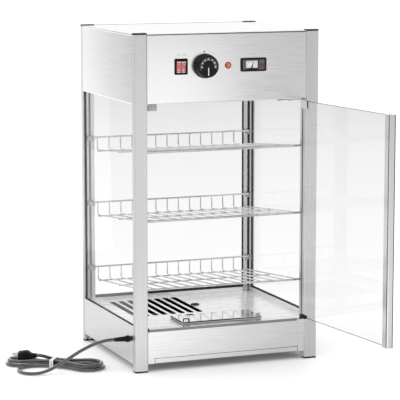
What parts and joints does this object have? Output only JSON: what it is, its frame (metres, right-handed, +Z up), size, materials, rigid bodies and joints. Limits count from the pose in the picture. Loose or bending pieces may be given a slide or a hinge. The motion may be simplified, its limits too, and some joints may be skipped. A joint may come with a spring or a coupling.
{
  "type": "heated display case",
  "caption": "Countertop heated display case with glass walls, a swing-open glass door, tilted wire racks, a lidded water tray in a slotted floor and controls over the door.",
  "frame": {"origin": "on the counter, under the middle of the box round everything but the cord, with the door open", "axes": "+Z up, -Y to the front where the door and controls are, +X to the right seen from the front"},
  "size_m": [0.5647, 0.5994, 0.61],
  "materials": {
    "post": "satin anodised",
    "cap": "moulded",
    "panel": "brushed along its length",
    "polished_sheet": "polished",
    "pane": "clear, polished edges",
    "seal": "matt",
    "heater": "dull sheath",
    "handle": "satin anodised",
    "wire": "bright plated",
    "clip": "moulded",
    "black_part": "moulded",
    "rocker": "translucent red",
    "knob": "moulded",
    "lens": "translucent amber",
    "needle": "matt",
    "sheath": "smooth",
    "tie": "flexible strap",
    "plug": "moulded body, metal pins"
  },
  "bodies": {
    "case": {"post_front_left": "post", "cap_front_left": "cap", "foot_front_left": "cap", "post_front_right": "post", "cap_front_right": "cap", "foot_front_right": "cap", "post_back_left": "post", "cap_back_left": "cap", "foot_back_left": "cap", "post_back_right": "post", "cap_back_right": "cap", "foot_back_right": "cap", "control_panel": "panel", "roof_panel": "panel", "ceiling_plate": "panel", "upper_left_panel": "panel", "upper_right_panel": "panel", "base_front_panel": "panel", "base_left_panel": "panel", "base_right_panel": "panel", "bottom_cover": "panel", "hinge_bracket": "panel", "glass_left": "pane", "seal_left": "seal", "glass_right": "pane", "seal_right": "seal", "glass_back": "pane", "seal_back": "seal", "floor_plate": "polished_sheet", "probe_grommet": "seal", "heater_element": "heater", "door_catch": "black_part", "clip_upper_left": "clip", "clip_upper_right": "clip", "clip_middle_left": "clip", "clip_middle_right": "clip", "clip_lower_left": "clip", "clip_lower_right": "clip", "switch_bezel": "black_part", "thermostat_body": "black_part", "pilot_lamp": "lens", "thermometer": "black_part", "cord_gland": "black_part", "cord_hank": "sheath", "cord_lead": "sheath", "cord_tie": "tie", "plug": "plug"},
    "door": {"door_glass": "pane", "door_handle": "handle", "door_clamp_upper": "panel", "door_clamp_lower": "black_part"},
    "knob": {"thermostat_knob": "knob"},
    "rocker_l": {"rocker_left": "rocker"},
    "rocker_r": {"rocker_right": "rocker"},
    "rack_u": {"rack_upper": "wire"},
    "rack_m": {"rack_middle": "wire"},
    "rack_d": {"rack_lower": "wire"},
    "tray": {"water_tray": "polished_sheet"},
    "lid": {"tray_lid": "polished_sheet"},
    "needle": {"thermometer_needle": "needle"}
  },
  "joints": [
    {"name": "door_hinge", "type": "hinge", "parent": "case", "child": "door", "pos_m": [0.14544, 0.00019, 0.28], "axis": [0, 0, 1], "range_deg": [-96, 0]},
    {"name": "thermostat_turn", "type": "hinge", "parent": "case", "child": "knob", "pos_m": [-0.04866, -0.01281, 0.5493], "axis": [0, -1, 0], "range_deg": [-105, 180]},
    {"name": "rocker_left_tilt", "type": "hinge", "parent": "case", "child": "rocker_l", "pos_m": [-0.09896, -0.00031, 0.5493], "axis": [1, 0, 0], "range_deg": [-16, 0]},
    {"name": "rocker_right_tilt", "type": "hinge", "parent": "case", "child": "rocker_r", "pos_m": [-0.08996, -0.00031, 0.5493], "axis": [1, 0, 0], "range_deg": [-16, 0]},
    {"name": "rack_upper_lift", "type": "slide", "parent": "case", "child": "rack_u", "axis": [0, 0, 1], "range_m": [0, 0.008]},
    {"name": "rack_middle_lift", "type": "slide", "parent": "case", "child": "rack_m", "axis": [0, 0, 1], "range_m": [0, 0.008]},
    {"name": "rack_lower_lift", "type": "slide", "parent": "case", "child": "rack_d", "axis": [0, 0, 1], "range_m": [0, 0.008]},
    {"name": "tray_lift", "type": "slide", "parent": "case", "child": "tray", "axis": [0, 0, 1], "range_m": [0, 0.025]},
    {"name": "lid_lift", "type": "slide", "parent": "tray", "child": "lid", "axis": [0, 0, 1], "range_m": [0, 0.015]},
    {"name": "needle_swing", "type": "hinge", "parent": "case", "child": "needle", "pos_m": [0.04179, -0.00411, 0.5447], "axis": [0, 1, 0], "range_deg": [-65, 25]}
  ]
}
